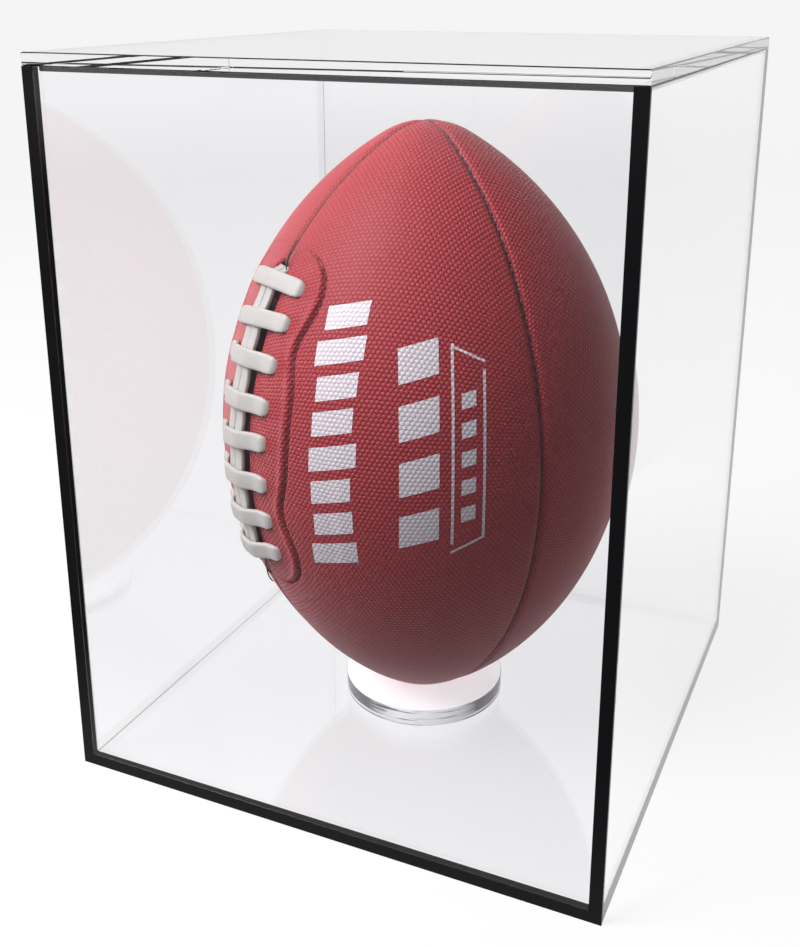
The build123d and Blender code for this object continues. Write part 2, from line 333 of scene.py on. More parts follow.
@dataclass(frozen=True)
class RingAcrylic:
    """Thick turned acrylic with a polished top: its pale top and painted glow stand in for the bright room
    mirrored in it, and the dark and pale bands on its side are painted reflections.
    """

    bottom: float
    top_level: float
    radius: float
    # pale and dark are painted light: the pale top is a painted reflection of the bright room, and the side's
    # dark and pale bands are painted reflections
    pale: Color = (0.93, 0.93, 0.94, 1.0)
    dark: Color = (0.06, 0.06, 0.065, 1.0)
    lamp_tint: Color = (0.55, 0.55, 0.57, 1.0)
    clouding: float = 0.94
    # strength of a painted glow on the top, which is no lamp
    glow: float = 0.4
    # painted reflection bands up the side: share of the height, then brightness
    bands: tuple[tuple[float, float], ...] = (
        (0.0, 0.3),
        (0.08, 0.0),
        (0.14, 0.9),
        (0.22, 0.9),
        (0.28, 0.0),
        (0.94, 0.0),
        (0.98, 1.0),
    )
    # direction of the side where pale painted highlight streaks run, facing the open room
    painted_highlight_side: tuple[float, float, float] = (0.39, -0.92, 0.0)
    streak_squash: float = 16.0

    def top(self, name: str) -> bpy.types.Material:
        """Builds the top's material: a polished, milky clear body with faint clouds, whose pale tone is a
        painted reflection and whose emission is a painted glow.

        Args:
            name: the material's name.

        Returns:
            The material.
        """
        shader = Shader(name)
        dimmer = tuple(self.clouding * c for c in self.pale[:3]) + (1.0,)
        tone = shader.mix_color(shader.noise(shader.object_place(), 60.0), dimmer, self.pale)
        body = self.body(shader, tone, 0.12, 0.25)
        # painted glow: the top gives off light of its own though it is no lamp
        body.inputs["Emission Color"].default_value = WHITE
        body.inputs["Emission Strength"].default_value = self.glow
        return self.let_lamps_through(shader, body.outputs[0])

    def side(self, name: str) -> bpy.types.Material:
        """Builds the side's material: painted reflections as dark and pale level bands, and pale painted
        highlight streaks on the side that faces the open room.

        Args:
            name: the material's name.

        Returns:
            The material.
        """
        shader = Shader(name)
        place = shader.object_place()
        split = shader.add("ShaderNodeSeparateXYZ", {0: place})
        share = shader.spread(split.outputs["Z"], self.bottom, self.top_level)
        # painted reflection: dark and pale bands by height
        bands = shader.add("ShaderNodeValToRGB", {0: share})
        ramp = bands.color_ramp
        while len(ramp.elements) < len(self.bands):
            ramp.elements.new(1.0)
        for element, (where, level) in zip(ramp.elements, self.bands):
            element.position = where
            element.color = (level, level, level, 1.0)
        squash = (1.0, 1.0, self.streak_squash)
        flat = shader.add("ShaderNodeVectorMath", {0: place, 1: squash}, operation="MULTIPLY")
        # painted highlight streaks, strongest on the side that faces the open room
        ahead = shader.add("ShaderNodeVectorMath", {0: place, 1: self.painted_highlight_side}, operation="DOT_PRODUCT")
        middle = shader.spread(ahead.outputs["Value"], 0.75 * self.radius, 0.97 * self.radius)
        broken = shader.spread(shader.noise(flat.outputs[0], 45.0), 0.4, 0.5)
        level = shader.math("MAXIMUM", bands.outputs[0], shader.math("MULTIPLY", broken, middle))
        # dark and pale here are painted reflection, not the acrylic's colour
        tone = shader.mix_color(level, self.dark, self.pale)
        return self.let_lamps_through(shader, self.body(shader, tone, 0.06, 0.3).outputs[0])

    def body(self, shader: Shader, tone: object, roughness: float, clearness: float) -> bpy.types.Node:
        """Makes the solid part of the finish.

        Args:
            shader: the material's builder.
            tone: its colour socket.
            roughness: how matt it is.
            clearness: how much light passes through.

        Returns:
            The shader node.
        """
        values = {"Base Color": tone, "Roughness": roughness, "IOR": ACRYLIC_REFRACTION}
        return shader.add("ShaderNodeBsdfPrincipled", {**values, "Transmission Weight": clearness})

    def let_lamps_through(self, shader: Shader, body: bpy.types.NodeSocket) -> bpy.types.Material:
        """Mixes the body with a tinted clear surface for light on its way through.

        Args:
            shader: the material's builder.
            body: the surface that is seen.

        Returns:
            The finished material.
        """
        clear = shader.add("ShaderNodeBsdfTransparent", {"Color": self.lamp_tint})
        shadow = shader.add("ShaderNodeLightPath").outputs["Is Shadow Ray"]
        mixed = shader.add("ShaderNodeMixShader", {0: shadow, 1: body, 2: clear.outputs[0]})
        return shader.finish(mixed.outputs[0])


@dataclass(frozen=True)
class GlossBlack:
    """Gloss black acrylic strip with faint handling marks."""

    color: Color = (0.006, 0.006, 0.007, 1.0)
    roughness: float = 0.16
    marks: float = 0.1
    gloss: float = 0.1

    def material(self, name: str) -> bpy.types.Material:
        """Builds the material: noise varies its gloss a little.

        Args:
            name: the material's name.

        Returns:
            The material.
        """
        shader = Shader(name)
        cloud = shader.noise(shader.object_place(), 90.0, 5.0)
        rough = shader.spread(cloud, 0.0, 1.0, self.roughness, self.roughness + self.marks)
        body = shader.add(
            "ShaderNodeBsdfPrincipled",
            {"Base Color": self.color, "Roughness": rough, "Specular IOR Level": self.gloss},
        )
        return shader.finish(body.outputs[0])


@dataclass(frozen=True)
class PebbledLeather:
    """Composite leather embossed with pebbles, with painted shade that darkens the valleys between them and
    the bottoms of the seams.
    """

    top: Color = (0.4, 0.042, 0.048, 1.0)
    # painted shade in the valleys between the pebbles
    painted_valley_shade: Color = (0.25, 0.02, 0.028, 1.0)
    shade: Color = (0.31, 0.03, 0.04, 1.0)
    pitch: float = 1.95 * MM
    depth: float = 0.27 * MM
    roughness: float = 0.38
    sheen: float = 0.08
    gloss: float = 0.24
    sheen_tint: Color = (1.0, 0.75, 0.75, 1.0)
    # painted shade at the bottom of the seams and the sewn grooves
    groove: Color = (0.07, 0.012, 0.016, 1.0)
    pore_scale: float = 2600.0
    pore_relief: float = 0.08
    pore_roughness: float = 0.18
    cloud_scale: float = 22.0

    def material(self, name: str) -> bpy.types.Material:
        """Builds the material from the pebble height, fine pores and broad clouds of colour, with painted
        shade in the pebbles' valleys.

        The mesh attribute "groove" is 1 at the bottom of a seam or sewn groove, where painted shade makes the
        leather darkest and its pebbles are pressed flat.

        Args:
            name: the material's name.

        Returns:
            The material.
        """
        shader = Shader(name)
        surface = shader.add("ShaderNodeUVMap", uv_map="surface")
        place = shader.object_place()
        pebbles = pebble_height(shader, self.pitch, surface.outputs[0])
        pores = shader.noise(place, self.pore_scale, 3.0)
        warm = shader.mix_color(shader.noise(place, self.cloud_scale, 4.0), self.shade, self.top)
        # painted shade: the valleys between the pebbles are darkened
        grain_and_valley_shade = shader.mix_color(pebbles, self.painted_valley_shade, warm)
        sewn = shader.add("ShaderNodeAttribute", attribute_name="groove").outputs["Fac"]
        # painted shade in the seam and sewn grooves
        tone = shader.mix_color(sewn, grain_and_valley_shade, self.groove)
        flattened = shader.math("MULTIPLY", pebbles, shader.math("SUBTRACT", 1.0, sewn))
        relief = shader.math("MULTIPLY_ADD", pores, self.pore_relief, flattened)
        bump = shader.add("ShaderNodeBump", {"Height": relief, "Distance": self.depth, "Strength": 1.0})
        rough = shader.math("MULTIPLY_ADD", pores, self.pore_roughness, self.roughness)
        leather = shader.add(
            "ShaderNodeBsdfPrincipled",
            {
                "Base Color": tone,
                "Roughness": rough,
                "Normal": bump.outputs[0],
                "Sheen Weight": self.sheen,
                "Specular IOR Level": self.gloss,
                "Sheen Roughness": 0.4,
            },
        )
        leather.inputs["Sheen Tint"].default_value = self.sheen_tint
        return shader.finish(leather.outputs[0])


@dataclass(frozen=True)
class PrintInk:
    """Pale ink printed over the pebbles, worn thin in the valleys."""

    color: Color = (0.64, 0.59, 0.63, 1.0)
    worn: Color = (0.55, 0.47, 0.51, 1.0)
    pitch: float = 1.95 * MM
    depth: float = 0.15 * MM

    def material(self, name: str) -> bpy.types.Material:
        """Builds the material on the same pebbles as the leather under it.

        Args:
            name: the material's name.

        Returns:
            The material.
        """
        shader = Shader(name)
        surface = shader.add("ShaderNodeUVMap", uv_map="surface")
        pebbles = pebble_height(shader, self.pitch, surface.outputs[0])
        tone = shader.mix_color(pebbles, self.worn, self.color)
        bump = shader.add("ShaderNodeBump", {"Height": pebbles, "Distance": self.depth, "Strength": 1.0})
        ink = shader.add(
            "ShaderNodeBsdfPrincipled", {"Base Color": tone, "Roughness": 0.45, "Normal": bump.outputs[0]}
        )
        return shader.finish(ink.outputs[0])


@dataclass(frozen=True)
class FlatLace:
    """Flat vinyl-coated lace: off-white, with fine ribs along it."""

    color: Color = (0.64, 0.61, 0.58, 1.0)
    soiled: Color = (0.58, 0.53, 0.48, 1.0)
    ribs: float = 1100.0

    def material(self, name: str) -> bpy.types.Material:
        """Builds the material: ribs run along the lace, and noise soils it.

        Args:
            name: the material's name.

        Returns:
            The material.
        """
        shader = Shader(name)
        surface = shader.add("ShaderNodeUVMap", uv_map="surface")
        soil = shader.noise(shader.object_place(), 140.0, 6.0)
        tone = shader.mix_color(shader.spread(soil, 0.55, 0.85), self.color, self.soiled)
        across = shader.add("ShaderNodeSeparateXYZ", {0: surface.outputs[0]})
        rib = shader.math("COSINE", shader.math("MULTIPLY", across.outputs["Y"], TURN * self.ribs))
        relief = shader.math("MULTIPLY_ADD", soil, 0.8, shader.math("MULTIPLY", rib, 0.25))
        bump = shader.add("ShaderNodeBump", {"Height": relief, "Distance": 0.12 * MM, "Strength": 0.8})
        lace = shader.add(
            "ShaderNodeBsdfPrincipled",
            {
                "Base Color": tone,
                "Roughness": 0.5,
                "Normal": bump.outputs[0],
                "Subsurface Weight": 0.15,
                "Subsurface Scale": 0.002,
            },
        )
        lace.inputs["Subsurface Radius"].default_value = (1.0, 0.8, 0.6)
        return shader.finish(lace.outputs[0])


@dataclass(frozen=True)
class MatteSoft:
    """Matte rubber, thread or plain leather with a fine grain."""

    color: Color
    roughness: float = 0.7
    grain: float = 900.0
    relief: float = 0.06 * MM

    def material(self, name: str) -> bpy.types.Material:
        """Builds the material: noise gives the grain and a slight change of tone.

        Args:
            name: the material's name.

        Returns:
            The material.
        """
        shader = Shader(name)
        grain = shader.noise(shader.object_place(), self.grain, 4.0)
        dark = tuple(0.55 * c for c in self.color[:3]) + (1.0,)
        tone = shader.mix_color(grain, dark, self.color)
        bump = shader.add("ShaderNodeBump", {"Height": grain, "Distance": self.relief})
        body = shader.add(
            "ShaderNodeBsdfPrincipled",
            {"Base Color": tone, "Roughness": self.roughness, "Normal": bump.outputs[0]},
        )
        return shader.finish(body.outputs[0])


@dataclass(frozen=True)
class StudioFloor:
    """Plain pale studio floor, part of whose brightness is its own, so that shadows stay soft."""

    color: Color = (0.9, 0.9, 0.905, 1.0)
    bounce: Color = (0.22, 0.22, 0.23, 1.0)
    mirrored: float = 0.14
    own_light: float = 1.03
    share: float = 0.82

    def material(self, name: str) -> bpy.types.Material:
        """Builds a matte pale material with hardly any mottle.

        It sends little light back up, and its flat part before the case shows dim in mirroring surfaces.

        Args:
            name: the material's name.

        Returns:
            The material.
        """
        shader = Shader(name)
        place = shader.object_place()
        dark = tuple(0.985 * c for c in self.color[:3]) + (1.0,)
        tone = shader.mix_color(shader.noise(place, 3.0), dark, self.color)
        matte = shader.add("ShaderNodeBsdfDiffuse", {"Color": tone})
        glow = shader.add("ShaderNodeEmission", {"Color": WHITE, "Strength": self.own_light})
        seen = shader.add("ShaderNodeMixShader", {0: self.share, 1: matte.outputs[0], 2: glow.outputs[0]})
        dim = shader.add("ShaderNodeBsdfDiffuse", {"Color": self.bounce})
        faint = shader.add("ShaderNodeEmission", {"Color": WHITE, "Strength": self.mirrored})
        path = shader.add("ShaderNodeLightPath").outputs
        along = shader.add("ShaderNodeSeparateXYZ", {0: place}).outputs
        front = shader.spread(along["Y"], -0.1, -0.2)
        low = shader.spread(along["Z"], 0.0, 0.1, 1.0, 0.0)
        once = shader.math("MINIMUM", path["Glossy Depth"], 1.0)
        mirror = shader.math("MULTIPLY", once, shader.math("MULTIPLY", front, low))
        plain = shader.add("ShaderNodeMixShader", {0: mirror, 1: seen.outputs[0], 2: faint.outputs[0]})
        mixed = shader.add(
            "ShaderNodeMixShader", {0: path["Is Diffuse Ray"], 1: plain.outputs[0], 2: dim.outputs[0]}
        )
        return shader.finish(mixed.outputs[0])


# ---------------------------------------------------------------------- acrylic sheets
def level_ring(
    low: Sequence[float], high: Sequence[float], height: float, corner: float, step: Sequence[float]
) -> Array:
    """A level ring of points round a rectangle with rounded corners and a step in its front side.

    A corner's points are its centre plus the corner's radius times (cos, sin) of angles over a quarter turn.

    Args:
        low: the rectangle's lowest x and y.
        high: its highest x and y.
        height: the ring's z.
        corner: the corners' radius.
        step: the step's lowest and highest x, and the y of the front side between them.

    Returns:
        n x 3 points, counted round anticlockwise from the corner at +x +y.
    """
    steps = 4
    quarter = np.linspace(0.0, QUARTER, steps)
    angle = np.concatenate([quarter + turn * QUARTER for turn in range(4)])
    right = np.repeat([True, False, False, True], steps)
    back = np.repeat([True, True, False, False], steps)
    x = np.where(right, high[0] - corner, low[0] + corner) + corner * np.cos(angle)
    y = np.where(back, high[1] - corner, low[1] + corner) + corner * np.sin(angle)
    x = np.insert(x, 3 * steps, [step[0], step[0], step[1], step[1]])
    y = np.insert(y, 3 * steps, [low[1], step[2], step[2], low[1]])
    return np.stack([x, y, np.full(x.shape, height)], -1)


def close_poles(piece: bpy.types.Object) -> None:
    """Merges points that lie together, such as a pole's, and makes all faces point outwards.

    Args:
        piece: the closed piece.
    """
    work = bmesh.new()
    work.from_mesh(piece.data)
    bmesh.ops.remove_doubles(work, verts=work.verts, dist=1e-7)
    bmesh.ops.recalc_face_normals(work, faces=work.faces)
    work.to_mesh(piece.data)
    work.free()


def face_places(piece: bpy.types.Object) -> tuple[Array, Array]:
    """Centres and outward directions of a piece's faces.

    Args:
        piece: the piece.

    Returns:
        Two n x 3 arrays.
    """
    count = len(piece.data.polygons)
    centres, normals = np.zeros(count * 3, np.float32), np.zeros(count * 3, np.float32)
    piece.data.polygons.foreach_get("center", centres)
    piece.data.polygons.foreach_get("normal", normals)
    return centres.reshape(-1, 3), normals.reshape(-1, 3)


@dataclass
class BondedShell:
    """Sheets of acrylic bonded edge to edge, which look like one clear solid.

    Rings of points lie one above the other, from a pole under the shell, up its outside, and over its rim or
    top to a second pole. Neighbouring rings are joined by quads.
    """

    name: str
    nodes: tuple[str, ...]
    body: Body

    def build(self, rings: Sequence[Array], material: bpy.types.Material) -> bpy.types.Object:
        """Joins the rings, closes both ends and lets the shell stand for its sheets.

        Args:
            rings: the rings of points, in order.
            material: the shell's finish.

        Returns:
            The shell.
        """
        points = capped(np.stack(rings))
        faces = grid_faces(points.shape[0], points.shape[1], wrap=True)
        shell = mesh_piece(self.name, points.reshape(-1, 3), faces, smooth=False)
        close_poles(shell)
        dress(shell, material)
        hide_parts(*self.nodes)
        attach(shell, self.body.value)
        log.info("%s stands for %s", self.name, ", ".join(self.nodes))
        return shell


def corners(node: str) -> tuple[Array, Array]:
    """Lowest and highest corner of a node, as arrays."""
    low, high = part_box(node)
    return np.array(low), np.array(high)


@dataclass
class DisplayCase:
    """The box: base, four walls, black edging and the ring stand."""

    arris: float = 0.4 * MM
    bond: float = 0.02 * MM
    bead: float = 0.6 * MM
    edging: tuple[str, ...] = ("edging_left", "edging_right", "edging_base")
    ring: str = "ring_stand"
    ring_hole_radius: float = 15.0 * MM
    ring_edge_round: float = 0.8 * MM
    ring_foot_round: float = 0.25 * MM
    ring_steps: int = 193

    def build(self, black: bpy.types.Material) -> None:
        """Builds every piece of the box.

        Args:
            black: finish of the edging.
        """
        self.build_box()
        for node in self.edging:
            dress(frame["nodes"][node], black)
        self.build_ring()

    def build_box(self) -> bpy.types.Object:
        """Builds the base and walls as one bonded shell whose front ends reach just into the black edging.

        Its rings go from under the base up the outside, over the rim, and down the inside to the floor.

        Returns:
            The shell.
        """
        base_low, base_high = corners("base_panel")
        left_low, left_high = corners("left_wall")
        right_low, right_high = corners("right_wall")
        front_low, front_high = corners("front_wall")
        back_low, back_high = corners("back_wall")
        arris, bond = self.arris, self.bond
        low = np.array([left_low[0], left_low[1] - bond])
        high = np.array([right_high[0], back_high[1]])
        drawn = (low + [arris, 0.0], high - arris)
        inside = (np.array([left_high[0], front_high[1]]), np.array([right_low[0], back_low[1]]))
        level = (front_low[0] - bond, front_high[0] + bond, low[1])
        step = (level[0], level[1], front_low[1])
        within = (inside[0][0] + 5.0 * arris, inside[1][0] - 5.0 * arris, inside[0][1])
        beside = (within[0], within[1], inside[0][1] + self.bead)
        floor, rim, bead = base_high[2], left_high[2], self.bead
        trimmed = (inside[0] + bead, inside[1] - bead)
        rings = [
            level_ring(*drawn, base_low[2], arris, level),
            level_ring(low, high, base_low[2] + arris, arris, level),
            level_ring(low, high, floor - bond, arris, level),
            level_ring(low, high, floor - bond, arris, step),
            level_ring(low, high, rim - arris, arris, step),
            level_ring(*drawn, rim, arris, step),
            level_ring(*inside, rim, bead, within),
            level_ring(*inside, floor + bead, bead, within),
            level_ring(*trimmed, floor, 0.5 * bead, beside),
        ]
        clear = ClearAcrylic().material("clear_polished_acrylic")
        nodes = ("base_panel", "left_wall", "right_wall", "front_wall", "back_wall")
        box = BondedShell("bonded_acrylic_box", nodes, Body.CASE).build(rings, clear)
        front = ClearAcrylic(tint=(0.975, 0.975, 0.99, 1.0)).material("clear_front_acrylic")
        box.data.materials.append(front)
        centres, normals = face_places(box)
        in_front = (centres[:, 1] < inside[0][1] + bond) & (np.abs(normals[:, 1]) > 0.9)
        in_front &= centres[:, 2] > floor
        box.data.polygons.foreach_set("material_index", in_front.astype(np.int32))
        return box

    def build_ring(self) -> bpy.types.Object:
        """Builds the ring stand: a closed rounded-rectangle section turned about the stand's upright axis.

        The section's corners are quarter circles of the edge radius, so a point of a corner is the corner's
        centre plus that radius times (cos, sin) of its angle. The top gets a painted glow, and the upright
        side gets painted dark and pale reflection bands.

        Returns:
            The ring.
        """
        low, high = corners(self.ring)
        centre = (low + high) / 2.0
        radius, bottom, top = (high[0] - low[0]) / 2.0, low[2] + self.bond, high[2]
        edge, foot = self.ring_edge_round, self.ring_foot_round
        quarter = np.linspace(0.0, QUARTER, 6)
        bends = (
            (radius - foot, bottom + foot, foot, -QUARTER),
            (radius - edge, top - edge, edge, 0.0),
            (self.ring_hole_radius + edge, top - edge, edge, QUARTER),
            (self.ring_hole_radius + foot, bottom + foot, foot, math.pi),
        )
        out = np.concatenate([c[0] + c[2] * np.cos(quarter + c[3]) for c in bends])
        up = np.concatenate([c[1] + c[2] * np.sin(quarter + c[3]) for c in bends])
        turn = np.linspace(0.0, TURN, self.ring_steps)
        points = np.stack(
            [
                centre[0] + np.outer(np.cos(turn), out),
                centre[1] + np.outer(np.sin(turn), out),
                np.broadcast_to(up, (len(turn), len(up))),
            ],
            -1,
        ).reshape(-1, 3)
        ring = mesh_piece("ring_stand_turned", points, grid_faces(len(turn), len(up), wrap=True))
        close_poles(ring)
        # the ring's finish is painted light: a painted glow and painted reflection on its top, painted
        # reflection bands on its side
        bright = RingAcrylic(low[2], high[2], radius)
        dress(ring, bright.top("painted_glow_ring_top"))
        ring.data.materials.append(bright.side("painted_reflection_ring_side"))
        centres, normals = face_places(ring)
        outward = np.hypot(centres[:, 0] - centre[0], centres[:, 1] - centre[1]) > radius - edge
        side = outward & (np.abs(normals[:, 2]) < 0.75)
        ring.data.polygons.foreach_set("material_index", side.astype(np.int32))
        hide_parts(self.ring)
        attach(ring, Body.CASE.value)
        log.info("%s: %.0f mm across", ring.name, 2.0 * radius / MM)
        return ring


@dataclass
class Lid:
    """The lid sheet, the plate that drops between the walls, and that plate's black edging."""

    arris: float = 0.4 * MM
    bond: float = 0.02 * MM
    rest_gap: float = 0.03 * MM
    lead_in: float = 0.5 * MM
    edging: str = "edging_lid"

    def build(self, black: bpy.types.Material) -> bpy.types.Object:
        """Builds the two bonded sheets as one stepped shell, and blackens the edging.

        Args:
            black: finish of the edging.

        Returns:
            The lid's clear shell.
        """
        plate_low, plate_high = corners("lid_plate")
        low, high = corners("lid_locating_plate")
        arris, lead = self.arris, self.lead_in
        under = plate_low[2] + self.rest_gap
        small = (np.array([low[0], low[1] - self.bond]), high[:2])
        small_drawn = (small[0] + [lead, 0.0], small[1] - lead)
        wide = (plate_low[:2], plate_high[:2])
        wide_drawn = (wide[0] + arris, wide[1] - arris)
        flat_small = (low[0] + 2.0 * lead, high[0] - 2.0 * lead, small[0][1])
        flat_drawn = (flat_small[0], flat_small[1], wide_drawn[0][1])
        flat_wide = (flat_small[0], flat_small[1], wide[0][1])
        rings = [
            level_ring(*small_drawn, low[2], arris, flat_small),
            level_ring(*small, low[2] + lead, arris, flat_small),
            level_ring(*small, under, arris, flat_small),
            level_ring(*wide_drawn, under, arris, flat_drawn),
            level_ring(*wide, under + arris, arris, flat_wide),
            level_ring(*wide, plate_high[2] - arris, arris, flat_wide),
            level_ring(*wide_drawn, plate_high[2], arris, flat_drawn),
        ]
        dress(frame["nodes"][self.edging], black)
        clear = ClearAcrylic(gloss=0.5).material("clear_lid_acrylic")
        sheets = ("lid_plate", "lid_locating_plate")
        return BondedShell("bonded_acrylic_lid", sheets, Body.LID).build(rings, clear)


# ---------------------------------------------------------------------- the football
@dataclass
class BallShape:
    """The ball's outline: a side arc between two tip arcs, turned about an upright axis."""

    tip_radius: float = 34.0 * MM
    lace_azimuth: float = math.radians(-126.0)
    half_length: float = field(init=False)
    radius: float = field(init=False)
    centre: Array = field(init=False)

    def __post_init__(self) -> None:
        """Reads the ball's size and place from the frame, and works out the two arcs that meet smoothly."""
        low, high = (np.array(corner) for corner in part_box("ball_panel_back"))
        joint = next(j for j in frame["joints"] if j["name"] == "ball_turn")
        axis_x, axis_y, _ = joint["pos_m"]
        self.centre = np.array([axis_x, axis_y, (low[2] + high[2]) / 2.0])
        self.half_length = (high[2] - low[2]) / 2.0
        self.radius = high[1] - axis_y
        a, b, tip = self.half_length, self.radius, self.tip_radius
        self.side_radius = (b * b + a * a - 2.0 * a * tip) / (2.0 * (b - tip))
        self.side_centre = b - self.side_radius
        self.tip_centre = a - tip
        self.join = math.atan2(self.tip_centre, -self.side_centre)
        self.side_arc = self.side_radius * self.join
        self.half_arc = self.side_arc + tip * (QUARTER - self.join)

    def profile(self, along: Array, offset: Array | float = 0.0) -> tuple[Array, Array]:
        """Distance from the axis and height above the middle, at a way along the outline from its middle.

        On the side arc the angle is the way over the arc's radius. Past the join it goes on with the tip's
        radius. The point is the arc's centre plus radius and offset times (cos, sin) of the angle.

        Args:
            along: way along the outline, negative below the middle.
            offset: distance out from the surface.

        Returns:
            The distances out and up.
        """
        way = np.minimum(np.abs(along), self.half_arc)
        on_tip = way > self.side_arc
        angle = np.where(
            on_tip, self.join + (way - self.side_arc) / self.tip_radius, way / self.side_radius
        )
        arc = np.where(on_tip, self.tip_radius, self.side_radius) + offset
        out = np.where(on_tip, 0.0, self.side_centre) + arc * np.cos(angle)
        up = np.where(on_tip, self.tip_centre, 0.0) + arc * np.sin(angle)
        return np.maximum(out, 0.0), np.sign(along) * up

    def place(self, along: Array, azimuth: Array, offset: Array | float = 0.0) -> Array:
        """Points in space at a way along the outline, an azimuth and a distance out from the surface."""
        out, up = self.profile(along, offset)
        return np.stack([out * np.cos(azimuth), out * np.sin(azimuth), up], -1) + self.centre

    def panel_uv(self, along: Array, turn: Array) -> Array:
        """Pattern coordinates of a panel as it was cut flat.

        A row of the pattern leaves the panel's middle line at a right angle and runs straight, as a great
        circle does on a globe: the row's latitude is atan(tan(latitude) / cos(turn)), and the way along it is
        the ball's radius times asin(cos(latitude) sin(turn)).

        Args:
            along: way along the outline from its middle.
            turn: azimuth from the panel's middle line.

        Returns:
            The coordinates, in metres.
        """
        out, _ = self.profile(along)
        latitude = np.sign(along) * np.arccos(np.clip(out / self.radius, 0.0, 1.0))
        row = np.arctan2(np.tan(np.clip(latitude, -1.5, 1.5)), np.cos(turn))
        row_out = np.cos(row) * self.radius
        angle = np.arccos(np.clip((row_out - self.side_centre) / self.side_radius, -1.0, 1.0))
        way = np.sign(row) * angle * self.side_radius
        across = self.radius * np.arcsin(np.clip(out / self.radius * np.sin(turn), -1.0, 1.0))
        return np.stack([across, way], -1)


@dataclass
class Lacing:
    """Sizes of the lacing, shared by the panels around it and the laces."""

    offset: float = 16.0 * MM
    stitch_count: int = 8
    pitch: float = 16.5 * MM
    width: float = 7.5 * MM
    thickness: float = 2.2 * MM
    clearance: float = 0.15 * MM
    standoff: float = 1.0 * MM
    strand_width: float = 6.0 * MM
    strand_gap: float = 0.3 * MM
    half_span: float = 20.0 * MM
    rest_height: float = 1.3 * MM
    slit_half_width: float = 8.0 * MM
    slit_overrun: float = 9.0 * MM
    facing_width: float = 33.0 * MM
    facing_dip: float = 4.5 * MM
    facing_overrun: float = 16.5 * MM
    dip_place: float = 0.46
    dip_width: float = 0.17
    stitch_rounding: float = 6.5 * MM
    stitch_leg: float = 0.16
    stitch_bend: float = 2.0 * MM
    stitch_tuck: float = 1.5 * MM
    fall_start: float = 4.5 * MM
    fall_end: float = 15.0 * MM
    lean: float = math.radians(5.0)
    lean_wobble: float = math.radians(2.5)
    swing: float = 0.35 * MM
    strand_overrun: float = 6.5 * MM
    strand_dip: float = 0.5 * MM
    strand_dive: float = 3.2 * MM
    strand_dive_way: float = 6.0 * MM
    strand_sway: float = 0.25 * MM
    sway_length: float = 9.0 * MM

    @property
    def length(self) -> float:
        """Way from the first stitch to the last."""
        return (self.stitch_count - 1) * self.pitch

    def slit_width(self, along: Array) -> Array:
        """Half width of the slit: full in the middle, rounded off at both ends by the square root of 1 - t^8.

        Args:
            along: way along the outline.

        Returns:
            The half widths.
        """
        half = self.length / 2.0 + self.slit_overrun
        t = np.clip(np.abs(along - self.offset) / half, 0.0, 1.0)
        return self.slit_half_width * np.sqrt(np.clip(1.0 - t**8, 0.0, 1.0))

    @property
    def facing_half(self) -> float:
        """Way from the lacing's middle to either end of the sewn facing."""
        return self.length / 2.0 + self.facing_overrun

    def groove_line(self, along: Array) -> Array:
        """How far the sewn edge of the lace facing lies from the seam.

        It is wavy: full width, less a dip of the form exp(-x^2) on each side of the middle, and closed at
        both ends in a rounded point by the square root of 1 - t^8, with t the share of the way to the end.

        Args:
            along: way along the outline.

        Returns:
            The distances from the seam.
        """
        t = np.clip((along - self.offset) / self.facing_half, -1.0, 1.0)
        dips = self.facing_dip * np.exp(-(((np.abs(t) - self.dip_place) / self.dip_width) ** 2))
        return (self.facing_width - dips) * np.sqrt(np.clip(1.0 - t**8, 0.0, 1.0))


class Panel(Enum):
    """The cover's four panels, counted round from the lacing."""

    FRONT = 0
    RIGHT = 1
    BACK = 2
    LEFT = 3


@dataclass(frozen=True)
class Block:
    """One printed block, in millimetres: its place along and across, its size, and its slant."""

    along: float
    across: float
    height: float
    width: float
    slant: float


